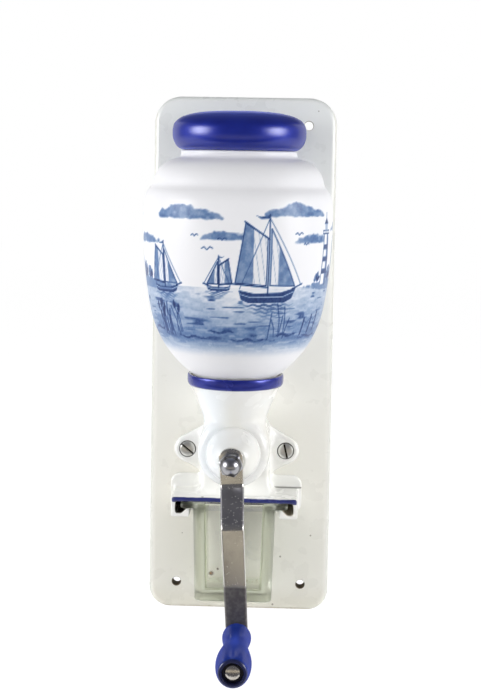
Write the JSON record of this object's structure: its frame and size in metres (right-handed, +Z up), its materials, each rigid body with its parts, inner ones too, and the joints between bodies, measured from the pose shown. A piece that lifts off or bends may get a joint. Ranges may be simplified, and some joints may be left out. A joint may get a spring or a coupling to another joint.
{
  "type": "wall mounted coffee mill",
  "caption": "Hand cranked coffee mill on a wall board, with a ceramic bean hopper and lid, an enamelled casting that holds the burrs, a crank with a turning knob, and a sliding glass cup.",
  "frame": {"origin": "centre of the back board's rear face, on the wall", "axes": "+X to the right of a person who faces the mill, +Y into the wall, +Z up; the crank faces -Y"},
  "size_m": [0.1216, 0.1854, 0.342],
  "materials": {
    "board_paint": "cream gloss paint on wood",
    "hopper_glaze": "white glaze with blue decoration",
    "cork": "cork",
    "screw_steel": "plated steel",
    "fibre": "hard fibre",
    "blue_lacquer": "dark blue gloss lacquer on turned wood",
    "enamel": "white enamel with blue edges on cast iron",
    "bronze": "bearing bronze",
    "burr_iron": "hardened iron",
    "crank_steel": "worn nickel plate on steel",
    "nut_plate": "bright nickel plate",
    "cup_glass": "thick pressed glass, pale green"
  },
  "bodies": {
    "mill": {"back_board": "board_paint", "hopper": "hopper_glaze", "hopper_gasket": "cork", "hopper_screw": "screw_steel", "hopper_washer": "fibre", "mill_body": "enamel", "body_screws": "screw_steel", "front_cap": "enamel", "front_bush": "bronze", "rear_bush": "bronze", "outer_burr": "burr_iron"},
    "crank": {"drive_shaft": "crank_steel", "inner_burr": "burr_iron", "feed_screw": "burr_iron", "drive_pins": "crank_steel", "thrust_washer": "crank_steel", "thrust_spring": "crank_steel", "crank_arm": "crank_steel", "cap_nut": "nut_plate", "knob_spindle": "screw_steel", "knob_washer": "screw_steel"},
    "adjuster": {"adjusting_nut": "crank_steel"},
    "knob": {"crank_knob": "blue_lacquer"},
    "lid": {"hopper_lid": "blue_lacquer"},
    "cup": {"glass_cup": "cup_glass"}
  },
  "joints": [
    {"name": "crank_turn", "type": "hinge", "parent": "mill", "child": "crank", "pos_m": [-0.0023, -0.055, -0.052], "axis": [0, -1, 0], "continuous": true},
    {"name": "knob_spin", "type": "hinge", "parent": "crank", "child": "knob", "pos_m": [0.00346, -0.15, -0.15183], "axis": [0, -1, 0], "continuous": true},
    {"name": "grind_adjust", "type": "hinge", "parent": "crank", "child": "adjuster", "pos_m": [-0.0023, -0.099, -0.052], "axis": [0, -1, 0], "range_deg": [-180, 180]},
    {"name": "lid_lift", "type": "slide", "parent": "mill", "child": "lid", "axis": [0, 0, 1], "range_m": [0, 0.06]},
    {"name": "cup_slide", "type": "slide", "parent": "mill", "child": "cup", "axis": [0, -1, 0], "range_m": [0, 0.045]}
  ]
}
